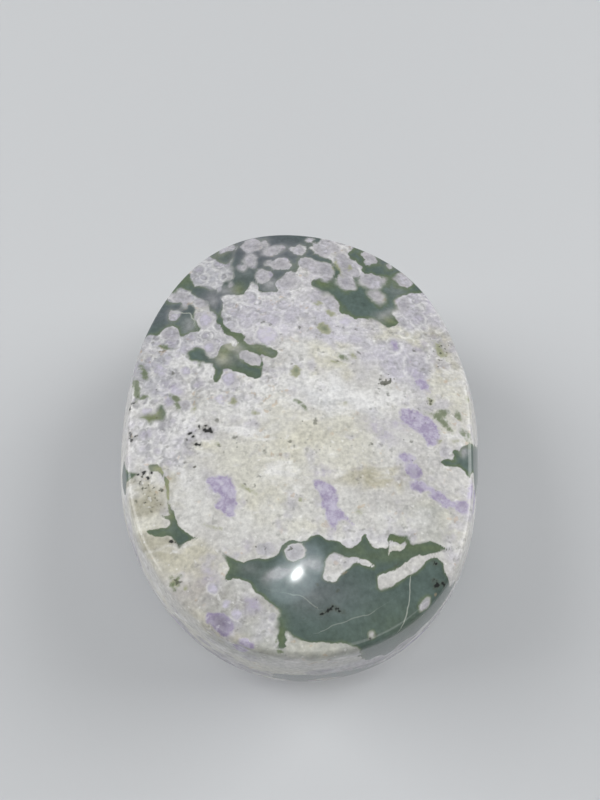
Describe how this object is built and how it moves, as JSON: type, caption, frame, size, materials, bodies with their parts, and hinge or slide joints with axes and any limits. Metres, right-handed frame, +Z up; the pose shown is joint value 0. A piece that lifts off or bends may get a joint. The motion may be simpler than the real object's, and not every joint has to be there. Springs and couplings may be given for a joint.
{
  "type": "palm stone",
  "caption": "Polished oval palm stone of mottled white, lilac and green rock, with a gently domed top, crisp shoulders, sides that lean out and a small flat spot to rest on.",
  "frame": {"origin": "on the surface the stone rests on, at the middle of its length and width", "axes": "+Z up out of the domed face, +Y along the stone's length, +X across it"},
  "size_m": [0.047, 0.058, 0.021],
  "materials": {
    "stone": "polished"
  },
  "bodies": {
    "root": {"palm_stone": "stone"}
  },
  "joints": []
}
